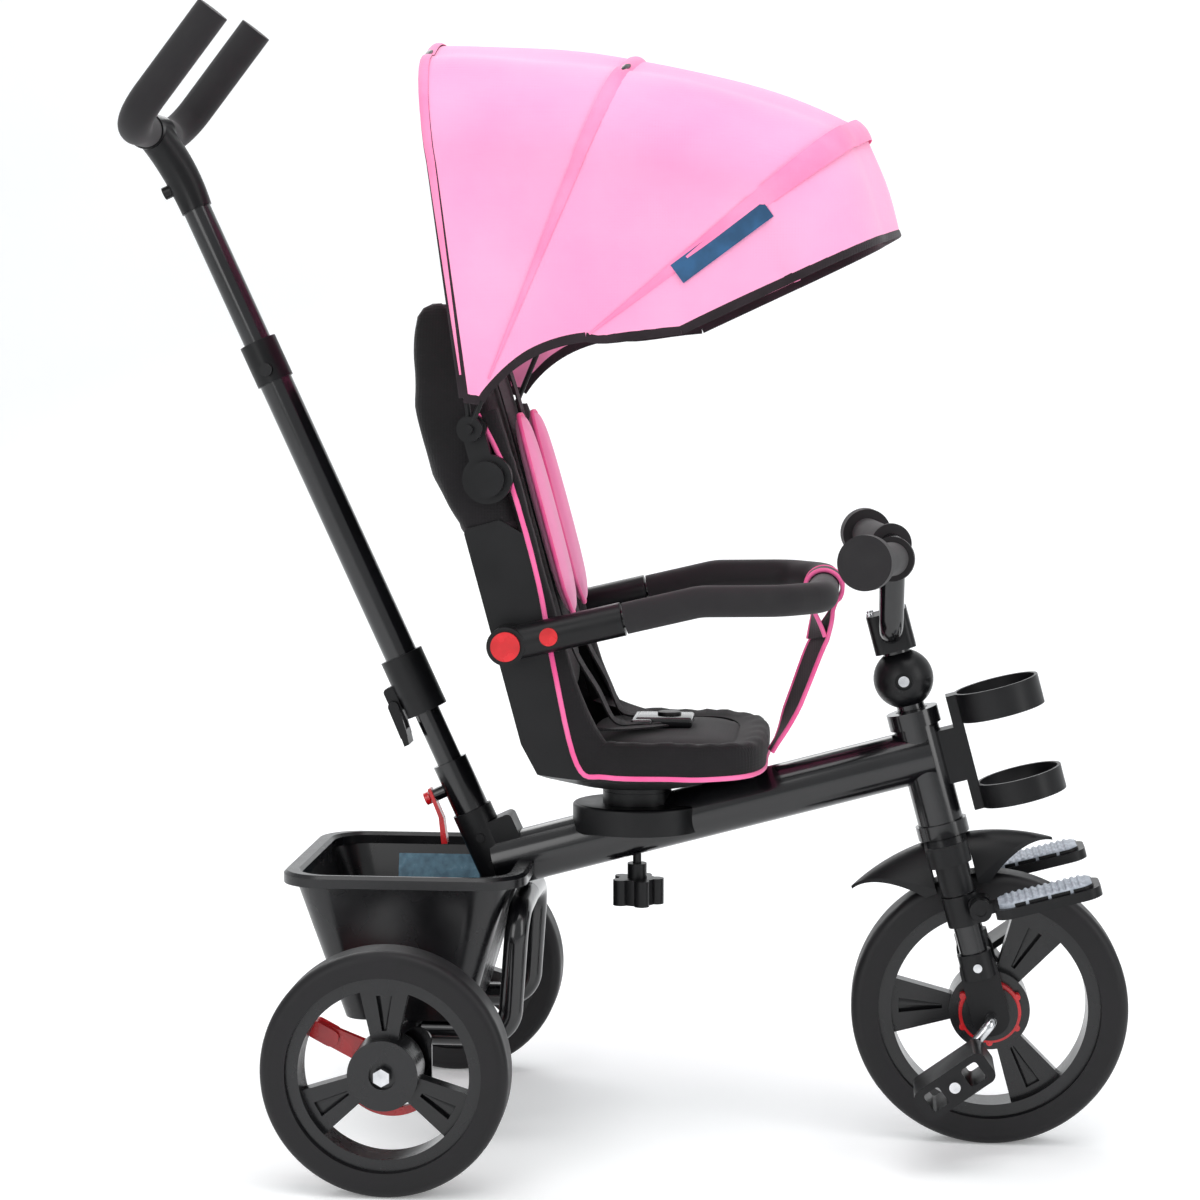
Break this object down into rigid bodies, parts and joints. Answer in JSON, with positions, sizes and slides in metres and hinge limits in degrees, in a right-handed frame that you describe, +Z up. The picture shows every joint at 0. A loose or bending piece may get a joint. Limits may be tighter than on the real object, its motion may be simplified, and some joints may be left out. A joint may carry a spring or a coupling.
{
  "type": "children's tricycle",
  "caption": "Push-along tricycle for a small child with steering push handle, swivel seat, safety bar, folding canopy, rear basket and pedals.",
  "frame": {"origin": "centre of the whole machine's footprint, on the floor", "axes": "+X forward, +Y to the rider's left, +Z up"},
  "size_m": [0.9219, 0.482, 1.0435],
  "materials": {
    "black_paint": "gloss black powder coat",
    "steel": "zinc plated",
    "black_plastic": "satin moulded",
    "tyre_foam": "moulded foam tread",
    "foam": "soft foam",
    "red_plastic": "moulded",
    "black_fabric": "woven polyester",
    "pink_fabric": "woven polyester",
    "canopy_frame": "fabric over wire hoop",
    "hoop": "wire"
  },
  "bodies": {
    "frame": {"main_tube": "black_paint", "head_tube": "black_paint", "headset_bushes": "black_plastic", "rear_frame": "black_paint", "rear_axle": "steel", "basket": "black_plastic", "handle_socket": "black_plastic", "seat_saddle": "black_plastic", "cup_holder": "black_plastic"},
    "wheel_left": {"rear_tyre_left": "tyre_foam", "rear_rim_left": "black_plastic"},
    "wheel_right": {"rear_tyre_right": "tyre_foam", "rear_rim_right": "black_plastic"},
    "brake_left": {"brake_pedal_left": "red_plastic"},
    "brake_right": {"brake_pedal_right": "red_plastic"},
    "steering": {"fork": "black_paint", "front_fender": "black_plastic", "leg_fittings": "black_plastic", "steering_screws": "steel", "handlebar_stem": "black_plastic", "handlebar": "black_paint", "handlebar_grips": "foam"},
    "footrest_left": {"footrest_left": "black_plastic"},
    "footrest_right": {"footrest_right": "black_plastic"},
    "front_wheel": {"front_tyre": "tyre_foam", "front_rim": "black_plastic"},
    "clutch": {"clutch_ring": "red_plastic"},
    "crank": {"crank": "steel"},
    "pedal_left": {"pedal_left": "black_plastic"},
    "pedal_right": {"pedal_right": "black_plastic"},
    "push_handle": {"pole_stub": "black_paint", "pole_middle": "black_paint", "pole_collars": "black_plastic"},
    "release": {"release_lever": "red_plastic"},
    "quick_release": {"quick_release": "black_plastic"},
    "height_button": {"height_button": "black_plastic"},
    "push_grip": {"pole_upper": "black_paint", "handle_tee": "black_plastic", "handle_foam": "foam"},
    "knob": {"seat_knob": "black_plastic"},
    "seat": {"seat_shell": "black_plastic", "back_board": "black_plastic", "seat_cushion": "black_fabric", "back_cushion": "black_fabric", "rear_cover": "black_fabric", "harness": "pink_fabric", "rosette_knobs": "black_plastic"},
    "safety_bar": {"bar_sockets": "black_plastic", "bar_tube": "black_paint", "bar_foam": "foam", "crotch_strap": "pink_fabric"},
    "pivot_left": {"pivot_button_left": "red_plastic"},
    "pivot_right": {"pivot_button_right": "red_plastic"},
    "latch_left": {"latch_button_left": "red_plastic"},
    "latch_right": {"latch_button_right": "red_plastic"},
    "canopy": {"canopy_brackets": "black_plastic", "canopy_rear_panel": "pink_fabric"},
    "canopy_middle": {"canopy_middle_rib": "hoop"},
    "canopy_front": {"canopy_front_rib": "canopy_frame", "canopy_front_panel": "pink_fabric"}
  },
  "joints": [
    {"name": "wheel_left_spin", "type": "hinge", "parent": "frame", "child": "wheel_left", "pos_m": [-0.1925, 0.215, 0.109], "axis": [0, 1, 0], "continuous": true},
    {"name": "wheel_right_spin", "type": "hinge", "parent": "frame", "child": "wheel_right", "pos_m": [-0.1925, -0.215, 0.109], "axis": [0, 1, 0], "continuous": true},
    {"name": "brake_left_press", "type": "hinge", "parent": "frame", "child": "brake_left", "pos_m": [-0.1925, 0.184, 0.109], "axis": [0, 1, 0], "range_deg": [-22, 0]},
    {"name": "brake_right_press", "type": "hinge", "parent": "frame", "child": "brake_right", "pos_m": [-0.1925, -0.184, 0.109], "axis": [0, 1, 0], "range_deg": [-22, 0]},
    {"name": "steer", "type": "hinge", "parent": "frame", "child": "steering", "pos_m": [0.27827, 0, 0.34433], "axis": [-0.2588, 0, 0.9659], "range_deg": [-18, 18]},
    {"name": "footrest_left_fold", "type": "hinge", "parent": "steering", "child": "footrest_left", "pos_m": [0.3253, 0.069, 0.23063], "axis": [0, 1, 0], "range_deg": [-70, 0]},
    {"name": "footrest_right_fold", "type": "hinge", "parent": "steering", "child": "footrest_right", "pos_m": [0.3253, -0.069, 0.23063], "axis": [0, 1, 0], "range_deg": [-70, 0]},
    {"name": "front_wheel_spin", "type": "hinge", "parent": "steering", "child": "front_wheel", "pos_m": [0.3365, 0, 0.127], "axis": [0, 1, 0], "continuous": true},
    {"name": "clutch_slide", "type": "slide", "parent": "front_wheel", "child": "clutch", "axis": [0, -1, 0], "range_m": [0, 0.002]},
    {"name": "crank_turn", "type": "hinge", "parent": "steering", "child": "crank", "pos_m": [0.3365, 0, 0.127], "axis": [0, 1, 0], "continuous": true},
    {"name": "pedal_right_spin", "type": "hinge", "parent": "crank", "child": "pedal_right", "pos_m": [0.30189, -0.108, 0.08426], "axis": [0, 1, 0], "continuous": true},
    {"name": "pedal_left_spin", "type": "hinge", "parent": "crank", "child": "pedal_left", "pos_m": [0.37111, 0.108, 0.16974], "axis": [0, 1, 0], "continuous": true},
    {"name": "handle_turn", "type": "hinge", "parent": "frame", "child": "push_handle", "pos_m": [-0.15338, 0, 0.3196], "axis": [-0.4147, 0, 0.91], "range_deg": [-18, 18]},
    {"name": "release_pull", "type": "slide", "parent": "push_handle", "child": "release", "axis": [-0.91, 0, -0.4147], "range_m": [0, 0.006], "stiffness_N_per_m": 400, "springref_m": -0.003},
    {"name": "quick_release_open", "type": "hinge", "parent": "push_handle", "child": "quick_release", "pos_m": [-0.2176, 0, 0.40023], "axis": [0, 1, 0], "range_deg": [0, 100]},
    {"name": "height_button_press", "type": "slide", "parent": "push_handle", "child": "height_button", "axis": [0, 1, 0], "range_m": [0, 0.0015], "stiffness_N_per_m": 600, "springref_m": -0.001},
    {"name": "handle_height", "type": "slide", "parent": "push_handle", "child": "push_grip", "axis": [0.4147, 0, -0.91], "range_m": [0, 0.13]},
    {"name": "knob_turn", "type": "hinge", "parent": "frame", "child": "knob", "pos_m": [0.0095, 0, 0.24], "axis": [0, 0, 1], "continuous": true},
    {"name": "seat_swivel", "type": "hinge", "parent": "frame", "child": "seat", "pos_m": [0.0095, 0, 0.33], "axis": [0, 0, 1], "continuous": true},
    {"name": "bar_lift", "type": "hinge", "parent": "seat", "child": "safety_bar", "pos_m": [-0.0945, 0, 0.474], "axis": [0, 1, 0], "range_deg": [-60, 0]},
    {"name": "pivot_button_left_press", "type": "slide", "parent": "safety_bar", "child": "pivot_left", "axis": [0, -1, 0], "range_m": [0, 0.002], "stiffness_N_per_m": 600, "springref_m": -0.001},
    {"name": "latch_button_left_press", "type": "slide", "parent": "safety_bar", "child": "latch_left", "axis": [0, -1, 0], "range_m": [0, 0.001], "stiffness_N_per_m": 600, "springref_m": -0.001},
    {"name": "pivot_button_right_press", "type": "slide", "parent": "safety_bar", "child": "pivot_right", "axis": [0, 1, 0], "range_m": [0, 0.002], "stiffness_N_per_m": 600, "springref_m": -0.001},
    {"name": "latch_button_right_press", "type": "slide", "parent": "safety_bar", "child": "latch_right", "axis": [0, 1, 0], "range_m": [0, 0.001], "stiffness_N_per_m": 600, "springref_m": -0.001},
    {"name": "canopy_tilt", "type": "hinge", "parent": "seat", "child": "canopy", "pos_m": [-0.1125, 0, 0.61995], "axis": [0, 1, 0], "range_deg": [-8, 8]},
    {"name": "canopy_fold_middle", "type": "hinge", "parent": "canopy", "child": "canopy_middle", "pos_m": [-0.1265, 0, 0.664], "axis": [0, 1, 0], "range_deg": [-26, 0], "deforming": ["canopy_rear_panel"]},
    {"name": "canopy_fold_front", "type": "hinge", "parent": "canopy_middle", "child": "canopy_front", "pos_m": [-0.1265, 0, 0.664], "axis": [0, 1, 0], "range_deg": [-24, 0], "deforming": ["canopy_front_panel"]}
  ],
  "couplings": [
    {"joint": "crank_turn", "follows": "front_wheel_spin", "ratio": 1},
    {"joint": "handle_turn", "follows": "steer", "ratio": 1},
    {"joint": "canopy_fold_middle", "follows": "canopy_fold_front", "ratio": 1}
  ]
}
